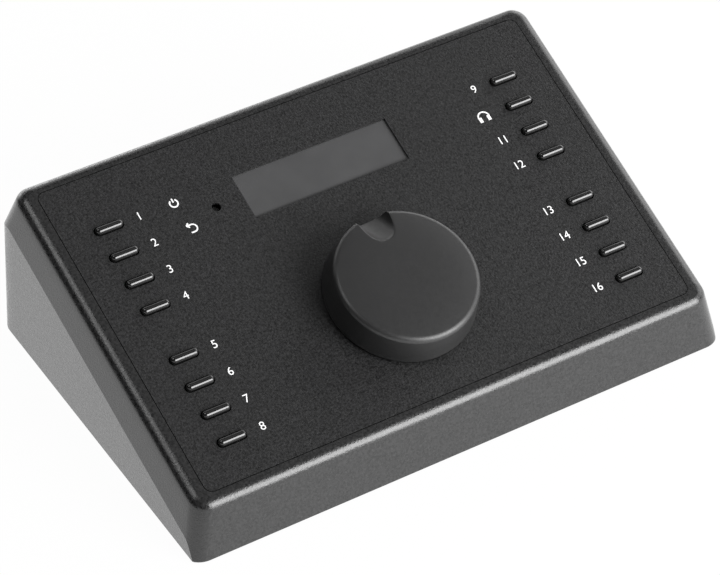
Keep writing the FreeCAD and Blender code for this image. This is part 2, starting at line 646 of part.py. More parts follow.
# Encoder: body on the control board, bush through the panel, plunger under the shaft.
bushBore = "(dim.shaft_round + dim.fit_gap)"
coderFloor = "(dim.coder_floor - dim.board_drop)"
plungerTop = f"({coderFloor} + dim.push_travel + dim.seat_gap + dim.plunger_thick)"
shaftFoot = f"({plungerTop} + dim.fit_gap)"
coderBlock = box("coder_block", "dim.coder_side", "dim.coder_side",
                 f"dim.board_drop - {roofDepth} - dim.seat_gap", "-dim.coder_side / 2",
                 "-dim.coder_side / 2", "-dim.board_drop")
coderBush = rod("coder_bush", "dim.bush_round", "dim.bush_high + dim.board_drop", 0, 0,
                "-dim.board_drop")
coderBore = rod("coder_bore", bushBore, "dim.bush_high + 2 * dim.board_drop", 0, 0, coderFloor)
keep("encoder_body", on_panel(cut("coder_cut", fuse("coder_joined", [coderBlock, coderBush]),
                                  coderBore)))
keep("encoder_plunger", on_panel(rod("coder_plunger", "dim.shaft_round - dim.seat_gap",
                                     "dim.plunger_thick", 0, 0,
                                     f"{plungerTop} - dim.plunger_thick")))
washerRing = rod("washer_ring", "dim.washer_round", "dim.washer_thick")
washerHole = rod("washer_hole", "dim.bush_round + dim.thread_gap", "3 * dim.washer_thick",
                 0, 0, "-dim.washer_thick")
keep("encoder_washer", on_panel(cut("washer_cut", washerRing, washerHole)))


def six_sided(name, radius, height, x=0, y=0, z=0):
    """Upright hexagonal bar that stands on x, y, z."""
    bar = doc.addObject("Part::Prism", name)
    bar.Polygon = 6
    bind(bar, "Circumradius", radius)
    bind(bar, "Height", height)
    return place(bar, x, y, z)


def nut(tag, radius, thick, hole):
    """Hexagon nut that stands on the origin."""
    bore = rod(tag + "_bore", hole, f"3 * ({thick})", 0, 0, f"-({thick})")
    return cut(tag, six_sided(tag + "_six", radius, thick), bore)


coderNut = nut("coder_nut", "dim.nut_round", "dim.nut_thick", "dim.bush_round + dim.thread_gap")
place(coderNut, 0, 0, "dim.washer_thick")
keep("encoder_nut", on_panel(group("coder_nut_raised", [coderNut])))

# Shaft with its flat, ending in the knob hub.
shaftTop = "(dim.knob_high - dim.knob_skin - dim.seat_gap)"
flatFoot = "(dim.bush_high + dim.push_travel + dim.seat_gap)"
shaftRod = rod("shaft_rod", "dim.shaft_round", f"{shaftTop} - {shaftFoot}", 0, 0, shaftFoot)
flatBlock = box("shaft_flat_block", "4 * dim.shaft_round", "2 * dim.shaft_round",
                f"2 * ({shaftTop} - {flatFoot})", "-2 * dim.shaft_round",
                "-dim.shaft_round - 2 * dim.shaft_round + dim.shaft_flat", flatFoot)
keep("encoder_shaft", on_panel(cut("shaft_cut", shaftRod, flatBlock)))

# Knob: a turned cap with a hub, a soft top edge and a finger notch at its upper side.
hubFoot = "(dim.bush_high + dim.push_travel + 3 * dim.seat_gap)"
knobBody = doc.addObject("PartDesign::Body", "knob_body")
knobShape = sketch_on(knobBody, "knob_shape", "XZ_Plane")
underTop = "(dim.knob_high - dim.knob_skin)"
outline(knobShape, [
    ("0", "dim.knob_high"),
    ("0", underTop),
    (f"{bushBore}", underTop),
    (f"{bushBore}", hubFoot),
    ("dim.hub_round", hubFoot),
    ("dim.hub_round", underTop),
    ("dim.knob_top - dim.knob_skin", underTop),
    ("dim.knob_base - dim.knob_skin", "dim.knob_clear"),
    ("dim.knob_base", "dim.knob_clear"),
    ("dim.knob_top", "dim.knob_high"),
])
doc.recompute()
turned = knobBody.newObject("PartDesign::Revolution", "knob_turned")
turned.Profile = knobShape
turned.ReferenceAxis = (knobShape, ["V_Axis"])
turned.Angle = 360
doc.recompute()
rim = knobBody.newObject("PartDesign::Fillet", "knob_rim")
rim.Base = (turned, [name for name in top_edges(turned.Shape, number("dim.knob_high"))
                     if turned.Shape.getElement(name).Length > number("dim.knob_top")])
bind(rim, "Radius", "dim.knob_edge")


def notch_ball(name, radius):
    """Ball about the centre of the finger notch."""
    ball = doc.addObject("Part::Sphere", name)
    bind(ball, "Radius", radius)
    return place(ball, 0, "dim.notch_out", "dim.knob_high + dim.notch_above")


# The cap keeps its wall under the notch: a thicker ball, held inside the cap's outer form.
capForm = doc.addObject("Part::Cone", "knob_cap_form")
bind(capForm, "Radius1", "dim.knob_base - dim.knob_skin / 2")
bind(capForm, "Radius2", "dim.knob_top - dim.knob_skin / 2")
bind(capForm, "Height", "dim.knob_high - dim.knob_clear - dim.knob_skin / 2")
place(capForm, 0, 0, "dim.knob_clear")
pocket = common("knob_pocket", notch_ball("pocket_ball", "dim.notch_round + dim.knob_skin / 2"),
                capForm)
knobCut = cut("knob_cut", fuse("knob_walled", [knobBody, pocket]),
              notch_ball("knob_notch", "dim.notch_round"))
keep("knob", on_panel(knobCut))
# Spring clip that fills the flat side of the hub bore and holds the knob on the shaft.
clipRod = rod("clip_rod", bushBore, f"{shaftTop} - {hubFoot}", 0, 0, hubFoot)
clipHalf = box("clip_half", "4 * dim.shaft_round", "2 * dim.shaft_round",
               f"2 * ({shaftTop} - {hubFoot})", "-2 * dim.shaft_round",
               "-3 * dim.shaft_round + dim.shaft_flat - dim.fit_gap", hubFoot)
keep("knob_clip", on_panel(common("clip_common", clipRod, clipHalf)))

# Main board on standoffs, with screws.
mainHalf = f"({baseHalf} - dim.main_inset)"
mainBack = f"({rearInner} - dim.main_gap)"
mainFront = f"({mainBack} - dim.main_deep)"
jackLong = "(dim.jack_deep - dim.jack_out - dim.body_gap + dim.jack_end)"
jackFoot = f"({rearSeat} - dim.body_gap - {jackLong})"
standSpots = [(f"{side} * ({mainHalf} - dim.stand_edge)", y) for side in (-1, 1)
              for y in (f"{mainFront} + dim.stand_edge", f"{jackFoot} - dim.stand_clear")]
mainFoot = "(dim.main_up - dim.board_thick)"
baseTop = columnFoot
standHigh = f"({mainFoot} - {baseTop})"
mainBlock = slab("main_board_block", mainHalf, mainFront, mainBack, mainFoot, "dim.main_up")
mainHoles = fuse("main_board_holes", [
    rod("main_board_hole", screwBore, "4 * dim.board_thick", x, y,
        f"{mainFoot} - dim.board_thick") for x, y in standSpots])
keep("main_board", cut("main_board_cut", mainBlock, mainHoles))
standParts = []
boltParts = []
for x, y in standSpots:
    bar = six_sided("stand_bar", "dim.stand_round", standHigh, x, y, baseTop)
    bore = rod("stand_bore", screwBore, standHigh, x, y, f"{baseTop} + dim.stand_floor")
    standParts.append(cut("standoff", bar, bore))
    head = rod("main_screw_head", "dim.screw_head", "dim.head_high", x, y, "dim.main_up")
    shank = rod("main_screw_shank", "dim.screw_round", f"dim.board_thick + 0.6 * {standHigh}",
                x, y, f"{mainFoot} - 0.6 * {standHigh}")
    boltParts.append(fuse("main_screw", [head, shank]))
keep("board_standoffs", group("standoffs", standParts))
keep("main_board_screws", group("main_screws", boltParts))

# Base plate inside the lower edge, its screws and the rubber feet.
baseFoot = "(dim.lift + dim.foot_inset)"
basePlan = slab("base_plan", f"{baseHalf} - dim.wall - dim.base_gap",
                f"{frontBaseY} + dim.wall + 2 * dim.base_gap",
                f"{rearInner} - dim.base_gap", baseFoot, baseTop)
baseRounded = rounded("base_rounded", basePlan, innerRound, steep)
baseHoles = fuse("base_holes", [
    rod("base_hole", screwBore, "4 * dim.base_thick", x, y,
        f"{baseFoot} - dim.base_thick") for x, y in columnSpots])
keep("base_plate", cut("base_cut", baseRounded, baseHoles))
baseScrews = []
for x, y in columnSpots:
    head = rod("base_screw_head", "dim.screw_head", "0.75 * dim.foot_inset", x, y,
               f"{baseFoot} - 0.75 * dim.foot_inset")
    shank = rod("base_screw_shank", "dim.screw_round", f"dim.base_thick + 0.8 * dim.column_deep",
                x, y, baseFoot)
    baseScrews.append(fuse("base_screw", [head, shank]))
keep("base_screws", group("base_screw_set", baseScrews))
for name, y in (("front", f"{frontBaseY} + dim.foot_end_inset"),
                ("rear", "dim.rear_reach - dim.foot_end_inset")):
    for hand, side in (("left", -1), ("right", 1)):
        node = "foot_%s_%s" % (name, hand)
        keep(node, rod(node + "_rod", "dim.foot_round", baseFoot,
                       f"{side} * ({baseHalf} - dim.foot_side_inset)", y))

# Rear panel in its rebate, with screws.
rearFace = f"({rearSeat} + dim.rear_thick)"
rearBlock = slab("rear_block", rearHalf, rearSeat, rearFace, "dim.rear_low", rearHigh)

# Sockets evenly spaced along the rear, by name and steps from the middle.
socketStep = f"(({rearHalf} - dim.socket_end) / 3)"
jackUp = "(dim.main_up + dim.jack_rise)"
jackMouth = f"({rearSeat} + dim.jack_out)"
socketMouth = f"({rearSeat} + dim.socket_out)"
powerUp = "(dim.main_up + dim.power_rise)"
powerHalf = "(dim.power_bore + dim.power_wall)"
jackSpots = [(node, f"{steps} * {socketStep}") for node, steps in (
    ("headphone_jack", -3), ("line_in_left_jack", -2), ("line_in_right_jack", -1))]
squareSpots = [(node, f"{steps} * {socketStep}", kind) for node, steps, kind in (
    ("usb_socket", 0, "usb"), ("network_socket_left", 1, "net"),
    ("network_socket_right", 2, "net"))]
powerX = f"3 * {socketStep}"
rearCuts = []


def rear_hole(name, radius, x, z):
    """Round opening through the rear panel."""
    rearCuts.append(rod_back(name, radius, "3 * dim.rear_thick", x,
                             f"{rearSeat} - dim.rear_thick", z))


for node, x in jackSpots:
    rear_hole(node + "_cutout", "dim.jack_bush + dim.cutout_gap", x, jackUp)
rear_hole("power_cutout", f"{powerHalf} + dim.cutout_gap", powerX, powerUp)
for x, z in rearSpots:
    rear_hole("rear_hole", screwBore, x, z)
for node, x, kind in squareSpots:
    rearCuts.append(box(node + "_cutout", f"dim.{kind}_wide + 2 * dim.cutout_gap",
                        "3 * dim.rear_thick", f"dim.{kind}_high + 2 * dim.cutout_gap",
                        f"{x} - dim.{kind}_wide / 2 - dim.cutout_gap",
                        f"{rearSeat} - dim.rear_thick", "dim.main_up - dim.cutout_gap"))
keep("rear_panel", cut("rear_panel_cut", rearBlock, fuse("rear_panel_openings", rearCuts)))
rearScrews = []
for x, z in rearSpots:
    head = rod_back("rear_screw_head", "dim.screw_head", "0.6 * dim.head_high", x, rearFace, z)
    shank = rod_back("rear_screw_shank", "dim.screw_round",
                     f"{rearFace} - {rearInner} + 0.5 * dim.wall", x,
                     f"{rearInner} - 0.5 * dim.wall", z)
    rearScrews.append(fuse("rear_screw", [head, shank]))
keep("rear_panel_screws", group("rear_screw_set", rearScrews))


def jack(node, x):
    """Quarter inch jack: moulded body on the board and a threaded bush through the panel."""
    block = box(node + "_block", "2 * dim.jack_half", jackLong, "dim.jack_rise + dim.jack_half",
                f"{x} - dim.jack_half", jackFoot, "dim.main_up")
    bushLong = "(dim.jack_out + dim.body_gap + dim.jack_end)"
    bush = rod_back(node + "_bush", "dim.jack_bush", bushLong, x, f"{jackMouth} - {bushLong}",
                    jackUp)
    bore = rod_back(node + "_bore", "dim.jack_bore", "dim.jack_deep + dim.jack_end", x,
                    f"{jackMouth} - dim.jack_deep", jackUp)
    keep(node, cut(node + "_cut", fuse(node + "_joined", [block, bush]), bore))


jackNuts = []
for node, x in jackSpots:
    jack(node, x)
    ring = nut(node + "_nut", "dim.jack_nut", "dim.jack_nut_thick",
               "dim.jack_bush + dim.thread_gap")
    ring.Placement.Rotation = FreeCAD.Rotation(vec(1, 0, 0), -90)
    jackNuts.append(place(ring, x, rearFace, jackUp))
keep("jack_nuts", group("jack_nut_set", jackNuts))


def square_socket(node, x, kind):
    """Metal shelled socket: a block with a mouth, midway up, that is open to the back."""
    mouthLow = f"dim.main_up + (dim.{kind}_high - dim.{kind}_mouth_high) / 2"
    block = box(node + "_shell", f"dim.{kind}_wide", f"dim.{kind}_deep", f"dim.{kind}_high",
                f"{x} - dim.{kind}_wide / 2", f"{socketMouth} - dim.{kind}_deep", "dim.main_up")
    hole = box(node + "_mouth", f"dim.{kind}_mouth_wide", f"2 * dim.{kind}_mouth_deep",
               f"dim.{kind}_mouth_high", f"{x} - dim.{kind}_mouth_wide / 2",
               f"{socketMouth} - dim.{kind}_mouth_deep", mouthLow)
    return cut(node + "_hollowed", block, hole)


for node, x, kind in squareSpots:
    hollowed = square_socket(node, x, kind)
    if kind == "usb":
        root = f"({socketMouth} - dim.usb_mouth_deep)"
        blade = box("usb_tongue", "dim.tongue_wide", "dim.tongue_long + dim.body_gap",
                    "dim.tongue_high", f"{x} - dim.tongue_wide / 2", f"{root} - dim.body_gap",
                    "dim.main_up + (dim.usb_high - dim.tongue_high) / 2")
        hollowed = fuse("usb_joined", [hollowed, blade])
    keep(node, hollowed)

# Power socket: block on the board, round mouth through the rear panel, centre pin.
powerBlock = box("power_block", f"2 * {powerHalf}", "dim.power_long",
                 f"dim.power_rise + {powerHalf}", f"{powerX} - {powerHalf}",
                 f"{rearSeat} - dim.body_gap - dim.power_long", "dim.main_up")
powerTube = rod_back("power_tube", powerHalf, "dim.socket_out + 3 * dim.body_gap", powerX,
                     f"{rearSeat} - 3 * dim.body_gap", powerUp)
powerHole = rod_back("power_hole", "dim.power_bore", "2 * dim.power_deep", powerX,
                     f"{socketMouth} - dim.power_deep", powerUp)
powerPin = rod_back("power_pin_rod", "dim.power_pin", "0.85 * dim.power_deep + dim.body_gap",
                    powerX, f"{socketMouth} - dim.power_deep - dim.body_gap", powerUp)
keep("power_socket", fuse("power_joined", [
    cut("power_hollowed", fuse("power_shell", [powerBlock, powerTube]), powerHole), powerPin]))

doc.recompute()

faults = []
for thing in doc.Objects:
    if "Invalid" in thing.State or "Error" in thing.State:
        faults.append(thing.Name)
for node, thing in nodes.items():
    if thing.Shape.isNull() or not thing.Shape.isValid():
        faults.append(node)
if faults:
    raise RuntimeError("failed: " + ", ".join(faults))

os.makedirs("parts", exist_ok=True)
for node, thing in nodes.items():
    thing.Shape.exportStep(os.path.join("parts", node + ".step"))
print(len(nodes), "nodes")
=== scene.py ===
import json
import math

import bmesh
import bpy
import numpy as np
from mathutils import Matrix, Vector


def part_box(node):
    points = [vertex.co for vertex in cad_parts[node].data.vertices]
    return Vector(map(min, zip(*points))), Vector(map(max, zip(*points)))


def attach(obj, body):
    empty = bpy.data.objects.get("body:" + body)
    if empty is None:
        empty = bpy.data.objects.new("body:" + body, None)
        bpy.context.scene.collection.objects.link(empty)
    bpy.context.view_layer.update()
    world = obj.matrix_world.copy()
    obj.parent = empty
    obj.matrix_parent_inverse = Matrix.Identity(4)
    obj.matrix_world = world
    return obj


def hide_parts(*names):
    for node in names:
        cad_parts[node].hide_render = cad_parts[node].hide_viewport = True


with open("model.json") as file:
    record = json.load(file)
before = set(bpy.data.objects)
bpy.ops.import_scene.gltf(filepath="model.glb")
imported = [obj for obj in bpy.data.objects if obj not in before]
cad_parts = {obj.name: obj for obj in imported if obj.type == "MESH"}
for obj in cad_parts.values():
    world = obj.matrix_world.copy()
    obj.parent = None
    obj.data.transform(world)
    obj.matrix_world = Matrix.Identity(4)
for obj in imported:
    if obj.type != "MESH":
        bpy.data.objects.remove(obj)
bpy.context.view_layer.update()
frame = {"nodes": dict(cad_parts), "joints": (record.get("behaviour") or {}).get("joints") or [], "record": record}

millimetre = 0.001
scene = bpy.context.scene
nodes = frame["nodes"]

# The panel frame: u to the right, v up the slope, n out of the panel, origin under the dial.
dialJoint = next(j for j in frame["joints"] if j["name"] == "dial_turn")
panelOrigin = np.array(dialJoint["pos_m"], float)
panelNormal = np.array(dialJoint["axis"], float)
panelNormal = panelNormal / np.linalg.norm(panelNormal)
slopeUp = np.array([0.0, panelNormal[2], -panelNormal[1]])
slopeAngle = math.atan2(slopeUp[2], slopeUp[1])


def toWorld(u, v, n):
    # World points of panel points: origin plus u along x, v up the slope and n out of it.
    u, v, n = np.broadcast_arrays(np.asarray(u, float), v, n)
    return (panelOrigin + u[..., None] * np.array([1.0, 0, 0])
            + v[..., None] * slopeUp + n[..., None] * panelNormal)


def toPanel(points):
    # Panel coordinates u, v, n of world points.
    local = np.asarray(points, float) - panelOrigin
    return local[..., 0], local @ slopeUp, local @ panelNormal


def panelBox(node):
    # Lowest and highest u, v, n of a CAD node.
    mesh = nodes[node].data
    flat = np.empty(len(mesh.vertices) * 3, np.float32)
    mesh.vertices.foreach_get("co", flat)
    local = np.stack(toPanel(flat.reshape(-1, 3)), axis=-1)
    return local.min(axis=0), local.max(axis=0)


def newMesh(name, points, faces):
    # Object at the origin from an array of points and lists of face corners.
    mesh = bpy.data.meshes.new(name)
    mesh.from_pydata(np.asarray(points, float).reshape(-1, 3).tolist(), [], faces)
    mesh.validate()
    piece = bpy.data.objects.new(name, mesh)
    scene.collection.objects.link(piece)
    return piece


def gridFaces(rows, columns, closeRows=False, closeColumns=False, start=0):
    # Quads of a rows by columns grid, joined round in either direction where asked.
    r = np.arange(rows if closeRows else rows - 1)
    c = np.arange(columns if closeColumns else columns - 1)
    r, c = np.meshgrid(r, c, indexing="ij")
    nextR, nextC = (r + 1) % rows, (c + 1) % columns
    quads = np.stack([r * columns + c, r * columns + nextC,
                      nextR * columns + nextC, nextR * columns + c], axis=-1)
    return (quads.reshape(-1, 4) + start).tolist()


def recalcOutward(piece, merge=1e-7):
    # Joins points closer than merge metres, then turns every face outwards.
    work = bmesh.new()
    work.from_mesh(piece.data)
    bmesh.ops.remove_doubles(work, verts=work.verts, dist=merge)
    bmesh.ops.recalc_face_normals(work, faces=work.faces)
    work.to_mesh(piece.data)
    work.free()
    return piece


def smoothByAngle(piece, degrees):
    # Smooth shading, broken where two faces meet at more than this angle.
    piece.data.shade_smooth()
    piece.data.set_sharp_from_angle(angle=math.radians(degrees))


def carve(piece, tool):
    # Takes the tool's volume out of the piece, keeps the result as its mesh and drops the tool.
    cutter = piece.modifiers.new("carve", "BOOLEAN")
    cutter.operation = "DIFFERENCE"
    cutter.solver = "EXACT"
    cutter.object = tool
    bpy.context.view_layer.update()
    evaluated = piece.evaluated_get(bpy.context.evaluated_depsgraph_get())
    baked = bpy.data.meshes.new_from_object(evaluated)
    piece.modifiers.clear()
    piece.data = baked
    bpy.data.objects.remove(tool)


def block(name, low, high):
    # Closed box between two world corners.
    low, high = np.array(low, float), np.array(high, float)
    unit = np.array([[0, 0, 0], [1, 0, 0], [1, 1, 0], [0, 1, 0],
                     [0, 0, 1], [1, 0, 1], [1, 1, 1], [0, 1, 1]], float)
    sides = [[0, 3, 2, 1], [4, 5, 6, 7], [0, 1, 5, 4], [1, 2, 6, 5], [2, 3, 7, 6], [3, 0, 4, 7]]
    return newMesh(name, low + unit * (high - low), sides)


# Finishes by slot. Base and roughness are plain values. A tint is noise size, detail, darkest and
# lightest colour; a gloss is noise size, detail, least and most roughness; a bump is noise size,
# detail, strength and depth. Sizes and depths are in millimetres.
def blackFinish(tone, roughness):
    # Moulded or sprayed black: the tone wanders a fifth down and a quarter up.
    return {"base": (tone,) * 3, "roughness": roughness,
            "tint": (1.2, 3.0, (tone * 0.8,) * 3, (tone * 1.25,) * 3),
            "gloss": (1.0, 2.0, roughness - 0.06, roughness + 0.08),
            "bump": (0.3, 2.0, 0.3, 0.02)}


def metalFinish(tone, roughness):
    # Metal with soft stains in its tone and handling marks in its roughness.
    return {"base": (tone, tone, tone * 0.98), "roughness": roughness, "metallic": 1.0,
            "tint": (3.0, 4.0, (tone * 0.85,) * 3, (tone,) * 3),
            "gloss": (0.6, 3.0, roughness - 0.08, roughness + 0.1),
            "bump": (0.4, 2.0, 0.15, 0.01)}


finishTable = {
    # black paint with an even grain that glints where light grazes it
    "housing_paint": ("texturedPaint", {
        "base": (0.01, 0.01, 0.0102), "roughness": 0.3, "specular": 0.55,
        "tint": (0.8, 2.0, (0.004, 0.004, 0.0042), (0.016, 0.016, 0.0162)),
        "gloss": (0.8, 2.0, 0.24, 0.36), "bump": (0.6, 2.0, 0.8, 0.08)}),
    # matt black sheet with a fine grain
    "plate_black": ("plateFinish", {
        "base": (0.01, 0.01, 0.0105), "roughness": 0.42, "specular": 0.4,
        "tint": (0.7, 2.0, (0.001, 0.001, 0.0011), (0.02, 0.02, 0.0205)),
        "gloss": (1.0, 2.0, 0.37, 0.47), "bump": (0.6, 2.0, 1.0, 0.12)}),
    # smoked pane with a dark back
    "window_tint": ("smokedWindow", {
        "base": (0.055, 0.055, 0.056), "roughness": 0.22,
        "tint": (12.0, 2.0, (0.05, 0.05, 0.051), (0.058, 0.058, 0.059)),
        "gloss": (3.0, 2.0, 0.18, 0.26)}),
    "display_glass": ("displayGlass", blackFinish(0.01, 0.15)),
    # lacquered circuit board with a mottled green
    "board_green": ("boardGreen", {
        "base": (0.01, 0.09, 0.03), "roughness": 0.35,
        "tint": (2.0, 4.0, (0.008, 0.07, 0.025), (0.012, 0.11, 0.04)),
        "bump": (0.8, 2.0, 0.2, 0.02)}),
    "black_plastic": ("mouldedBlack", blackFinish(0.018, 0.45)),
    "switch_metal": ("platedMetal", metalFinish(0.62, 0.28)),
    "screw_steel": ("blackenedSteel", metalFinish(0.09, 0.32)),
    # glossy black with faint polish marks
    "key_gloss": ("glossKey", {
        "base": (0.008, 0.008, 0.008), "roughness": 0.14, "specular": 0.6,
        "gloss": (0.9, 3.0, 0.1, 0.2), "bump": (1.2, 2.0, 0.12, 0.01)}),
    # unpainted, slightly yellow plastic
    "plunger_plastic": ("naturalPlastic", {
        "base": (0.7, 0.69, 0.64), "roughness": 0.4,
        "tint": (2.0, 3.0, (0.64, 0.63, 0.58), (0.74, 0.73, 0.68)),
        "bump": (0.5, 2.0, 0.2, 0.02)}),
    # dark grey soft-touch coat
    "knob_soft": ("dialRubber", {
        "base": (0.008, 0.008, 0.0082), "roughness": 0.44, "specular": 0.62,
        "tint": (0.9, 3.0, (0.0065, 0.0065, 0.0067), (0.0095, 0.0095, 0.0097)),
        "gloss": (1.2, 2.0, 0.41, 0.47), "bump": (0.3, 1.0, 0.35, 0.02)}),
    "plate_steel": ("rearPaint", blackFinish(0.02, 0.5)),
    "foot_rubber": ("footRubber", blackFinish(0.015, 0.75)),
}
whitePrint = {
    "base": (0.78, 0.78, 0.78), "roughness": 0.5,
    "tint": (0.4, 2.0, (0.68, 0.68, 0.68), (0.84, 0.84, 0.84)), "bump": (0.2, 2.0, 0.2, 0.01)}
# Noise values gather round a half, so their middle stretch is mapped to a whole range.
patternLow, patternHigh = 0.3, 0.7


def makeFinish(name, p):
    # A shader whose colour and roughness each run in a straight line with a noise pattern of
    # their own size, and whose bump tilts the shading as if a third pattern stood depth high.
    # All patterns read Object coordinates.
    material = bpy.data.materials.new(name)
    material.use_nodes = True
    tree = material.node_tree
    shader = tree.nodes["Principled BSDF"]
    shader.inputs["Base Color"].default_value = (*p["base"], 1.0)
    shader.inputs["Roughness"].default_value = p["roughness"]
    shader.inputs["Metallic"].default_value = p.get("metallic", 0.0)
    shader.inputs["Specular IOR Level"].default_value = p.get("specular", 0.5)
    place = tree.nodes.new("ShaderNodeTexCoord").outputs["Object"]

    def noise(size, detail):
        node = tree.nodes.new("ShaderNodeTexNoise")
        node.inputs["Scale"].default_value = 1.0 / (size * millimetre)
        node.inputs["Detail"].default_value = detail
        tree.links.new(place, node.inputs["Vector"])
        return node.outputs["Fac"]

    if "tint" in p:
        size, detail, dark, light = p["tint"]
        ramp = tree.nodes.new("ShaderNodeValToRGB")
        for stop, where, colour in zip(ramp.color_ramp.elements, (patternLow, patternHigh),
                                       (dark, light)):
            stop.position, stop.color = where, (*colour, 1.0)
        tree.links.new(noise(size, detail), ramp.inputs["Fac"])
        tree.links.new(ramp.outputs["Color"], shader.inputs["Base Color"])
    if "gloss" in p:
        size, detail, least, most = p["gloss"]
        spread = tree.nodes.new("ShaderNodeMapRange")
        for socket, value in (("From Min", patternLow), ("From Max", patternHigh),
                              ("To Min", least), ("To Max", most)):
            spread.inputs[socket].default_value = value
        tree.links.new(noise(size, detail), spread.inputs["Value"])
        tree.links.new(spread.outputs["Result"], shader.inputs["Roughness"])
    if "bump" in p:
        size, detail, strength, depth = p["bump"]
        relief = tree.nodes.new("ShaderNodeBump")
        relief.inputs["Strength"].default_value = strength
        relief.inputs["Distance"].default_value = depth * millimetre
        tree.links.new(noise(size, detail), relief.inputs["Height"])
        tree.links.new(relief.outputs["Normal"], shader.inputs["Normal"])
    return material


finishes = {slot: makeFinish(*row) for slot, row in finishTable.items()}
inkWhite = makeFinish("whitePrint", whitePrint)
slotOf = {part["node"]: part["material_slot"] for part in frame["record"]["subparts"]}
for nodeName, cadPiece in nodes.items():
    cadPiece.data.materials.clear()
    cadPiece.data.materials.append(finishes[slotOf[nodeName]])
print("materials ready")


def finishPiece(piece, body, slot, *replaced, material=None):
    # Gives a piece its finish, lets it ride on its body and stand for CAD nodes.
    piece.data.materials.clear()
    piece.data.materials.append(material or finishes[slot])
    if replaced:
        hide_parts(*replaced)
    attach(piece, body)


# Housing: one closed skin, carved for the rear panel. Lengths are in millimetres. The edge
# outline is where the panel plane and the walls would meet, the base outline where they end.
housing = {
    "edgeHalf": 94.25, "edgeFront": 40.1, "edgeBack": 80.5, "edgeDrop": 12.1,
    "baseHalf": 97.4, "baseReach": 61.5, "lift": 0.8, "wall": 2.6,
    "rimRound": 4.3, "cornerRound": 6.0, "plateGap": 0.25, "plateRound": 2.85,
    "recess": 0.8, "roof": 3.2, "roofInset": 3.38, "rearInner": 53.6,
    "shelfShare": 0.97, "shelfShift": 0.5, "rebateClear": 0.2,
    "windowHalf": 79.0, "windowLow": 7.0, "windowHigh": 36.0, "windowFront": 40.0,
    "toolBack": 80.0, "arcSteps": 14, "sideSteps": 40, "rimSteps": 10, "wallSteps": 5,
    "lipHigh": 3.0, "halvings": 40, "merge": 0.001, "creaseAngle": 12.5,
}


def roundedOutline(halfU, lowV, highV, radius, arcSteps, sideSteps):
    # Points round a rectangle with quarter-circle corners, counter-clockwise from the front
    # right corner, and the outward direction at each. A point is its corner's centre plus the
    # radius along the outward direction; on a side the centre slides from corner to corner. The
    # sizes may be arrays over depth, so that rows match point for point.
    arc = np.linspace(0, 1, arcSteps)
    along = np.linspace(0, 1, sideSteps + 2)[1:-1]
    signU = [1, 1, -1, -1, 1]
    centreU = [sign * (halfU[..., None] - radius) for sign in signU]
    low, high = lowV[..., None] + radius, highV[..., None] - radius
    centreV = [low, high, high, low, low]
    quarter = math.pi / 2
    points, directions = [], []
    for index in range(4):
        start = (index - 1) * quarter
        for turn, share in ((start + arc * quarter, np.zeros(arcSteps)),
                            (np.full(sideSteps, start + quarter), along)):
            u = (centreU[index] * (1 - share) + centreU[index + 1] * share
                 + radius * np.cos(turn))
            v = (centreV[index] * (1 - share) + centreV[index + 1] * share
                 + radius * np.sin(turn))
            points.append(np.stack(np.broadcast_arrays(u, v), axis=-1))
            directions.append(np.stack([np.cos(turn), np.sin(turn)], axis=-1))
    return np.concatenate(points, axis=-2), np.concatenate(directions)


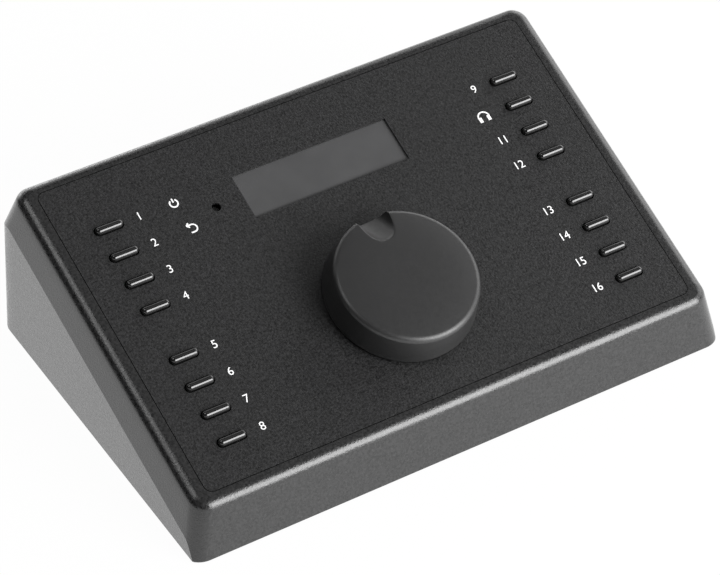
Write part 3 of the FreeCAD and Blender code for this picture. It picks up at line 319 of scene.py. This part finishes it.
def makeHousing(p):
    # Rows of points run from the recess over the rounded edge, down the leaning wall to the
    # crease, down the upright wall and back up inside. Each row is a closed outline. A wall
    # point lies on the line of fall from its edge point, at a depth shared evenly between the
    # rounded edge, the crease and the bottom.
    p = {key: value if isinstance(value, int) or key in ("creaseAngle", "shelfShare")
         else value * millimetre for key, value in p.items()}
    half, front, back, radius = p["edgeHalf"], -p["edgeFront"], p["edgeBack"], p["cornerRound"]
    frontTop = toWorld(0, front, 0)
    lean = math.atan((frontTop[1] + p["baseReach"]) / (frontTop[2] - p["lift"]))
    sideRate = (p["baseHalf"] - half) / p["edgeDrop"]
    frontRate = math.tan(slopeAngle + lean)
    backRate = math.tan(lean - slopeAngle)

    def outlineAt(depth, inset=0.0, roundness=radius):
        # Outline of the leaning walls at a depth under the panel, moved in by the inset.
        depth = np.atleast_1d(np.asarray(depth, float))
        return roundedOutline(half + sideRate * depth - inset, front - frontRate * depth + inset,
                              back + backRate * depth - inset, roundness,
                              p["arcSteps"], p["sideSteps"])

    (top,), outward = outlineAt(0.0)
    (deeper,), _ = outlineAt(millimetre)
    count = len(top)
    start = toWorld(top[:, 0], top[:, 1], 0)
    fall = (toWorld(deeper[:, 0], deeper[:, 1], -millimetre) - start) / millimetre
    inwardWorld = -(outward[:, :1] * np.array([1.0, 0, 0]) + outward[:, 1:] * slopeUp)
    fallUnit = fall / np.linalg.norm(fall, axis=1, keepdims=True)

    def outside(points):
        # Signed distance in plan to the upright walls, and the direction away from them.
        limit = np.array([p["baseHalf"], p["baseReach"]])
        q = np.stack([np.abs(points[..., 0]), points[..., 1]], axis=-1) - (limit - radius)
        clipped = np.maximum(q, 0)
        length = np.linalg.norm(clipped, axis=-1)
        distance = np.where((q > 0).any(axis=-1), length, np.max(q, axis=-1)) - radius
        gradient = clipped / np.where(length > 0, length, 1.0)[..., None]
        gradient[..., 0] *= np.sign(points[..., 0])
        return distance, gradient

    def pulledIn(points):
        # Points past the upright walls go back to them, straight in plan.
        distance, gradient = outside(points)
        moved = points.copy()
        moved[..., :2] -= gradient * np.maximum(distance, 0)[..., None]
        return moved

    # The crease is where the fall line leaves the upright walls, found by halving its depth.
    depthEnd = (start[:, 2] - p["lift"]) / -fall[:, 2]
    low, crease = np.zeros(count), depthEnd.copy()
    for _ in range(p["halvings"]):
        middle = (low + crease) / 2
        beyond = outside(start + fall * middle[:, None])[0] > 0
        low, crease = np.where(beyond, low, middle), np.where(beyond, middle, crease)

    # The rim is a cubic curve with a circle's own handle length, so it follows the arc closely.
    turn = np.arccos(np.clip(np.sum(-inwardWorld * fallUnit, axis=1), -1, 1))
    tangent = (p["rimRound"] * np.tan(turn / 2))[:, None]
    rimStart, rimEnd = start + inwardWorld * tangent, start + fallUnit * tangent
    handle = (4 / 3 * np.tan(turn / 4) * p["rimRound"])[:, None]
    t = np.linspace(0, 1, p["rimSteps"])[:, None, None]
    rim = ((1 - t) ** 3 * rimStart + 3 * t * (1 - t) ** 2 * (rimStart - inwardWorld * handle)
           + 3 * t ** 2 * (1 - t) * (rimEnd - fallUnit * handle) + t ** 3 * rimEnd)

    rimDepth = np.sum((rimEnd - start) * fall, axis=1) / np.sum(fall * fall, axis=1)
    share = np.linspace(0, 1, p["wallSteps"])[1:, None]
    upper = rimDepth + (crease - rimDepth) * share
    lower = crease + (depthEnd - crease) * share
    upperRows = pulledIn(start + fall * upper[..., None])
    lowerRows = pulledIn(start + fall * lower[..., None])

    gap, plateLow, plateHigh = p["plateGap"], *panelBox("face_plate")
    (mouth,), _ = roundedOutline(np.array([plateHigh[0] + gap]), np.array([plateLow[1] - gap]),
                                 np.array([plateHigh[1] + gap]), p["plateRound"],
                                 p["arcSteps"], p["sideSteps"])
    shelf = mouth * p["shelfShare"] + np.array([0, p["shelfShift"]])
    inwardPlan = np.stack([-outward[:, 0], -outward[:, 1], np.zeros(count)], axis=1)
    footIn = lowerRows[-1] + inwardPlan * p["wall"]
    footIn[:, 1] = np.minimum(footIn[:, 1], p["rearInner"])
    upIn = footIn + np.array([0, 0, p["lipHigh"]])
    (roofIn,), _ = outlineAt(p["roof"], p["roofInset"], radius - p["wall"])
    roofRow = toWorld(roofIn[:, 0], roofIn[:, 1], -p["roof"])
    roofRow[:, 1] = np.minimum(roofRow[:, 1], p["rearInner"])
    rows = np.concatenate([[toWorld(shelf[:, 0], shelf[:, 1], -p["roof"]),
                            toWorld(shelf[:, 0], shelf[:, 1], -p["recess"]),
                            toWorld(mouth[:, 0], mouth[:, 1], -p["recess"]),
                            toWorld(mouth[:, 0], mouth[:, 1], 0)],
                           rim, upperRows, lowerRows, [footIn, upIn, roofRow]])
    faces = gridFaces(len(rows), count, closeRows=True, closeColumns=True)
    skin = recalcOutward(newMesh("housing_skin", rows, faces), p["merge"])
    rearLow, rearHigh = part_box("rear_panel")
    clear = p["rebateClear"]
    carve(skin, block("rear_rebate_tool", (rearLow[0] - clear, rearLow[1], rearLow[2] - clear),
                      (rearHigh[0] + clear, p["toolBack"], rearHigh[2] + clear)))
    carve(skin, block("rear_window_tool", (-p["windowHalf"], p["windowFront"], p["windowLow"]),
                      (p["windowHalf"], p["toolBack"], p["windowHigh"])))
    smoothByAngle(skin, p["creaseAngle"])
    finishPiece(skin, "case", "housing_paint", "housing")


makeHousing(housing)
print("housing ready")

# Key caps: a bar with round ends and a half-round crown, in millimetres. The crown stops a hair
# before its middle line, so that the last ring still has an area.
keyCap = {"length": 9.6, "width": 2.6, "stand": 1.7, "foot": -2.4, "arcSteps": 17,
          "crownSteps": 13, "crownEnd": math.pi / 2 - 0.01, "smooth": 50}


def obroundRing(length, width, arcSteps):
    # Points round a slot shape: two half circles, their centres moved apart by the difference
    # of length and width. Both sizes may be arrays over rows.
    radius = width / 2
    reach = (length - width) / 2
    turn = np.concatenate([np.linspace(-0.5, 0.5, arcSteps), np.linspace(0.5, 1.5, arcSteps)])
    side = np.concatenate([np.ones(arcSteps), -np.ones(arcSteps)])
    u = side * reach[..., None] + radius[..., None] * np.cos(turn * math.pi)
    v = radius[..., None] * np.sin(turn * math.pi)
    return u, v


def capEnds(rings, count):
    # One many-sided face on the first ring of a tube of rings and one on the last.
    return [list(range(count))[::-1], list(range((rings - 1) * count, rings * count))]


def makeKey(index, p):
    # The crown's inset and height follow a quarter circle from the side to the middle line.
    node = "key_%02d" % index
    low, high = panelBox(node)
    centreU, centreV = (low[0] + high[0]) / 2, (low[1] + high[1]) / 2
    bend = np.linspace(0, p["crownEnd"], p["crownSteps"])
    crown = p["width"] / 2
    inset = np.concatenate([[0], crown * (1 - np.cos(bend))])
    height = np.concatenate([[p["foot"]], p["stand"] - crown * (1 - np.sin(bend))])
    u, v = obroundRing((p["length"] - 2 * inset) * millimetre,
                       (p["width"] - 2 * inset) * millimetre, p["arcSteps"])
    points = toWorld(centreU + u, centreV + v, (height * millimetre)[:, None])
    rings, count = points.shape[:2]
    faces = gridFaces(rings, count, closeColumns=True) + capEnds(rings, count)
    cap = recalcOutward(newMesh("key_cap_%02d" % index, points, faces))
    smoothByAngle(cap, p["smooth"])
    finishPiece(cap, node, "key_gloss", node)


for keyIndex in range(1, 17):
    makeKey(keyIndex, keyCap)
print("keys ready")

# Dial: a turned form with a soft rim and a scooped finger notch that runs out over the rim, in
# millimetres. The foot rows are the radius less the base radius, and the height over the panel.
dial = {"base": 24.8, "top": 23.2, "high": 13.3, "clear": 1.0, "edge": 2.2,
        "crown": 0.95, "crownPower": 3.0, "hollowInset": 6.0, "hollowHigh": 7.54,
        "foot": [(-2.4, 1.0), (-0.5, 1.0), (-0.12, 1.12), (0.0, 1.5), (-0.02, 1.8)],
        "sideLow": 2.2, "sideSteps": 34, "edgeSteps": 24, "fineInner": 10.5, "eye": 0.4,
        "fineSteps": 47, "innerSteps": 8, "fineTurns": 130, "fineAngle": 22.0,
        "coarseTurns": 150, "smooth": 40,
        "notchRound": 5.7, "notchOut": 17.6, "notchAbove": 3.1, "notchFall": 35.0,
        "notchLong": 14.0, "notchSoft": 0.16}


def scoop(u, v, n, p):
    # Depth of a point inside a round-ended bar whose axis falls to the outside, and the way out
    # of it. The bar's radius is notchRound, its inner end stands notchAbove over the dial's top.
    fall = math.radians(p["notchFall"])
    axis = np.array([0.0, math.cos(fall), -math.sin(fall)])
    away = np.stack([u, v - p["notchOut"], n - p["high"] - p["notchAbove"]], axis=-1)
    along = np.clip(away @ axis, 0, p["notchLong"])
    away = away - along[..., None] * axis
    reach = np.linalg.norm(away, axis=-1)
    return p["notchRound"] - reach, away / np.maximum(reach, 1e-6)[..., None]


def makeDial(p):
    # The profile's radius and height run from the hollow underside up the tapered side, round a
    # circle and in over the crown, whose fall grows with a power of the radius. Points inside
    # the notch bar are pressed out to its surface; the soft maximum of depth and nothing rounds
    # the notch's edge.
    taper = (p["base"] - p["top"]) / (p["high"] - p["clear"])
    inner = p["top"] - p["edge"]
    crownSlope = math.atan(p["crown"] * p["crownPower"] / inner)
    sideTop = p["high"] - p["crown"] - p["edge"] * math.cos(crownSlope)
    footOut, footHigh = np.array(p["foot"]).T
    side = np.linspace(p["sideLow"], sideTop, p["sideSteps"])
    sideRadius = p["base"] - taper * (side - p["clear"])
    bend = np.linspace(0, math.pi / 2 - crownSlope, p["edgeSteps"] + 1)[1:]
    shoulder = sideRadius[-1] - p["edge"] * (1 - np.cos(bend))
    flat = np.concatenate([
        np.linspace(shoulder[-1], p["fineInner"], p["fineSteps"] + 1)[1:],
        np.linspace(p["fineInner"], p["eye"], p["innerSteps"] + 1)[1:]])
    radius = np.concatenate([[inner - p["hollowInset"]], p["base"] + footOut, sideRadius,
                             shoulder, flat])
    height = np.concatenate([[p["hollowHigh"]], footHigh, side, sideTop + p["edge"] * np.sin(bend),
                             p["high"] - p["crown"] * (flat / shoulder[-1]) ** p["crownPower"]])
    # columns stand closer together round the notch
    fine = math.radians(p["fineAngle"])
    turn = math.pi / 2 + np.concatenate([
        np.linspace(-fine, fine, p["fineTurns"], endpoint=False),
        np.linspace(fine, 2 * math.pi - fine, p["coarseTurns"], endpoint=False)])
    u, v = radius[:, None] * np.cos(turn), radius[:, None] * np.sin(turn)
    n = np.broadcast_to(height[:, None], u.shape)
    depth, wayOut = scoop(u, v, n, p)
    push = p["notchSoft"] * np.logaddexp(0, depth / p["notchSoft"])
    push[:len(footOut) + 1] = 0
    local = (np.stack([u, v, n], axis=-1) + wayOut * push[..., None]) * millimetre
    points = toWorld(local[..., 0], local[..., 1], local[..., 2])
    rings, count = points.shape[:2]
    faces = gridFaces(rings, count, closeColumns=True) + capEnds(rings, count)
    knob = recalcOutward(newMesh("dial_cap", points, faces))
    smoothByAngle(knob, p["smooth"])
    finishPiece(knob, "dial", "knob_soft", "knob")


makeDial(dial)
print("dial ready")

# Printing on the face plate: plain numbers beside the keys and three common signs.
printing = {"size": 4.0, "lift": 0.012, "layer": 0.002, "leftEdge": -63.5, "rightEdge": 63.0,
            "curveSteps": 6}


def printText(name, words, u, v, size, align):
    # Flat letters on the plate, made a mesh and then set in place.
    curve = bpy.data.curves.new(name, "FONT")
    curve.body = words
    curve.size = size * millimetre
    curve.align_x = align
    curve.align_y = "CENTER"
    curve.resolution_u = printing["curveSteps"]
    flat = bpy.data.objects.new(name, curve)
    scene.collection.objects.link(flat)
    bpy.context.view_layer.update()
    mesh = bpy.data.meshes.new_from_object(flat.evaluated_get(
        bpy.context.evaluated_depsgraph_get()))
    bpy.data.objects.remove(flat)
    count = len(mesh.vertices)
    co = np.empty(count * 3, np.float32)
    mesh.vertices.foreach_get("co", co)
    co = co.reshape(-1, 3)
    placed = toWorld(co[:, 0] + u * millimetre, co[:, 1] + v * millimetre,
                     printing["lift"] * millimetre)
    mesh.vertices.foreach_set("co", placed.astype(np.float32).ravel())
    piece = bpy.data.objects.new(name, mesh)
    scene.collection.objects.link(piece)
    finishPiece(piece, "case", "plate_black", material=inkWhite)


for keyIndex in [k for k in range(1, 17) if k != 10]:
    low, high = panelBox("key_%02d" % keyIndex)
    middleV = (low[1] + high[1]) / 2 / millimetre
    onLeft = keyIndex <= 8
    printText("number_%02d" % keyIndex, str(keyIndex),
              printing["leftEdge"] if onLeft else printing["rightEdge"], middleV,
              printing["size"], "LEFT" if onLeft else "RIGHT")

# The three signs: each stroke is an arc or a line with a width, in millimetres.
signs = {
    "power": {"at": (-50.2, 56.1), "arcs": [(0, 0, 1.35, 125, 415)],
              "bars": [(0, 0.3, 0, 1.75)]},
    "return": {"at": (-49.0, 45.94), "arcs": [(0.2, 0, 1.35, -90, 90)],
               "bars": [(-1.5, 1.35, 0.2, 1.35), (-1.5, 1.35, -0.6, 2.15), (-1.5, 1.35, -0.6, 0.55),
                        (-1.0, -1.35, 0.2, -1.35)]},
    "headphones": {"at": (59.6, 45.94), "arcs": [(0, -0.2, 1.95, -5, 185)],
                   "bars": [], "cups": [(-1.55, -0.9), (1.55, -0.9)]},
}
stroke = {"wide": 0.5, "steps": 32, "cupWide": 1.15, "cupTall": 1.9}


def stripAlong(x, y, wide):
    # Two rows of points, half the width to each side of a path.
    alongX, alongY = np.gradient(x), np.gradient(y)
    length = np.hypot(alongX, alongY)
    sideX, sideY = -alongY / length * wide / 2, alongX / length * wide / 2
    return np.stack([np.stack([x - sideX, x + sideX]), np.stack([y - sideY, y + sideY])], axis=-1)


def printSign(name, sign):
    # Joins the strips of all strokes, and the filled ear cups, in one flat mesh.
    points, faces, strips = [], [], []
    for x, y, radius, start, end in sign["arcs"]:
        turn = np.radians(np.linspace(start, end, stroke["steps"]))
        strips.append(stripAlong(x + radius * np.cos(turn), y + radius * np.sin(turn),
                                 stroke["wide"]))
    for x0, y0, x1, y1 in sign["bars"]:
        strips.append(stripAlong(np.linspace(x0, x1, 3), np.linspace(y0, y1, 3),
                                 stroke["wide"]))
    for x, y in sign.get("cups", []):
        half = stroke["cupTall"] / 2
        strips.append(stripAlong(np.array([x, x, x]), np.array([y - half, y, y + half]),
                                 stroke["cupWide"]))
    start = 0
    for index, strip in enumerate(strips):
        local = strip.reshape(-1, 2) + np.array(sign["at"])
        # each stroke lies a hair above the one before
        high = printing["lift"] + printing["layer"] * index
        points.append(toWorld(local[:, 0] * millimetre, local[:, 1] * millimetre,
                              high * millimetre))
        faces += gridFaces(2, strip.shape[1], start=start)
        start += len(local)
    piece = newMesh("sign_" + name, np.concatenate(points), faces)
    piece.data.flip_normals()
    finishPiece(piece, "case", "plate_black", material=inkWhite)


for signName, sign in signs.items():
    printSign(signName, sign)
print("printing ready")


# Camera at the photograph's angle.
camera = {"place": (-0.47386, -0.67973, 0.79475), "raised": 43.095, "turned": 34.796,
          "rolled": 3.594, "lens": 179.262, "sensor": 36.0, "near": 0.01, "far": 20.0}


def makeCamera(p):
    # Looks along the direction given by its elevation and turn, then rolls about it.
    up, turn, roll = (math.radians(p[k]) for k in ("raised", "turned", "rolled"))
    look = Vector((math.sin(turn) * math.cos(up), math.cos(turn) * math.cos(up), -math.sin(up)))
    right = look.cross(Vector((0, 0, 1))).normalized()
    over = right.cross(look)
    tiltedRight = right * math.cos(roll) + over * math.sin(roll)
    tiltedUp = -right * math.sin(roll) + over * math.cos(roll)
    data = bpy.data.cameras.new("photoCamera")
    data.lens = p["lens"]
    data.sensor_width = p["sensor"]
    data.sensor_fit = "HORIZONTAL"
    data.clip_start = p["near"]
    data.clip_end = p["far"]
    eye = bpy.data.objects.new("photoCamera", data)
    turnMatrix = Matrix((tiltedRight, tiltedUp, -look)).transposed()
    eye.matrix_world = Matrix.Translation(Vector(p["place"])) @ turnMatrix.to_4x4()
    scene.collection.objects.link(eye)
    scene.camera = eye


makeCamera(camera)

# Light: soft boxes where the photograph's highlights come from, a dim sky and a white floor.
lamps = [
    {"name": "frontRight", "from": (0.417, -0.83, 0.37), "far": 1.6, "wide": 1.2, "high": 1.05,
     "glow": 14.0},
    {"name": "overhead", "from": (0.417, 0.04, 0.909), "far": 1.6, "wide": 1.4, "high": 1.4,
     "glow": 0.32},
    {"name": "leftHigh", "from": (-0.45, 0.1, 0.88), "far": 1.6, "wide": 0.5, "high": 0.8,
     "glow": 4.5},
    {"name": "backEdge", "from": (0.0, 1.0, 0.1), "far": 1.8, "wide": 1.4, "high": 0.28,
     "glow": 7.0},
    {"name": "backLow", "from": (0.1, 1.0, 0.42), "far": 1.8, "wide": 2.4, "high": 1.0,
     "glow": 1.5},
    {"name": "rightLow", "from": (1.0, 0.25, 0.40), "far": 1.8, "wide": 2.4, "high": 1.1,
     "glow": 3.2},
]
surroundings = {"sky": 0.05, "floorGlow": 1.75, "floorShare": 0.97, "floorHalf": 4.0,
                "floorTone": 0.85, "white": 1.0}


def makeLamps():
    # Area lamps: power is radiance times area times pi.
    for lamp in lamps:
        data = bpy.data.lights.new(lamp["name"], "AREA")
        data.shape = "RECTANGLE"
        data.size, data.size_y = lamp["wide"], lamp["high"]
        data.energy = lamp["glow"] * lamp["wide"] * lamp["high"] * math.pi
        box = bpy.data.objects.new(lamp["name"], data)
        aim = Vector(lamp["from"]).normalized()
        box.location = aim * lamp["far"]
        box.rotation_euler = aim.to_track_quat("Z", "Y").to_euler()
        scene.collection.objects.link(box)


def makeSky():
    # White where the camera looks past the floor, dim for everything else.
    sky = bpy.data.worlds.new("studio")
    sky.use_nodes = True
    tree = sky.node_tree
    path = tree.nodes.new("ShaderNodeLightPath")
    tone = tree.nodes.new("ShaderNodeMapRange")
    tone.inputs["To Min"].default_value = surroundings["sky"]
    tone.inputs["To Max"].default_value = surroundings["white"]
    tree.links.new(path.outputs["Is Camera Ray"], tone.inputs["Value"])
    tree.nodes["Background"].inputs["Color"].default_value = (1, 1, 1, 1)
    tree.links.new(tone.outputs["Result"], tree.nodes["Background"].inputs["Strength"])
    scene.world = sky


def makeFloor():
    # White for the camera and brighter in reflections, over a plain matt floor for shadow.
    half = surroundings["floorHalf"]
    points = np.array([[-1, -1, 0], [1, -1, 0], [1, 1, 0], [-1, 1, 0]], float) * half
    floor = newMesh("floor", points, [[0, 1, 2, 3]])
    material = bpy.data.materials.new("paleFloor")
    material.use_nodes = True
    tree = material.node_tree
    tree.nodes.clear()

    def add(kind):
        return tree.nodes.new("ShaderNode" + kind)

    out, matt, glow = add("OutputMaterial"), add("BsdfDiffuse"), add("Emission")
    mix, path, strength = add("MixShader"), add("LightPath"), add("MapRange")
    either, share = add("Math"), add("Math")
    either.operation = "MAXIMUM"
    share.operation = "MULTIPLY"
    share.inputs[1].default_value = surroundings["floorShare"]
    strength.inputs["To Min"].default_value = surroundings["white"]
    strength.inputs["To Max"].default_value = surroundings["floorGlow"]
    matt.inputs["Color"].default_value = (*[surroundings["floorTone"]] * 3, 1)
    tree.links.new(path.outputs["Is Glossy Ray"], strength.inputs["Value"])
    tree.links.new(strength.outputs["Result"], glow.inputs["Strength"])
    tree.links.new(path.outputs["Is Camera Ray"], either.inputs[0])
    tree.links.new(path.outputs["Is Glossy Ray"], either.inputs[1])
    tree.links.new(either.outputs[0], share.inputs[0])
    tree.links.new(share.outputs[0], mix.inputs["Fac"])
    tree.links.new(matt.outputs[0], mix.inputs[1])
    tree.links.new(glow.outputs[0], mix.inputs[2])
    tree.links.new(mix.outputs[0], out.inputs["Surface"])
    floor.data.materials.append(material)


makeLamps()
makeSky()
makeFloor()
scene.view_settings.view_transform = "Standard"
print("studio ready")
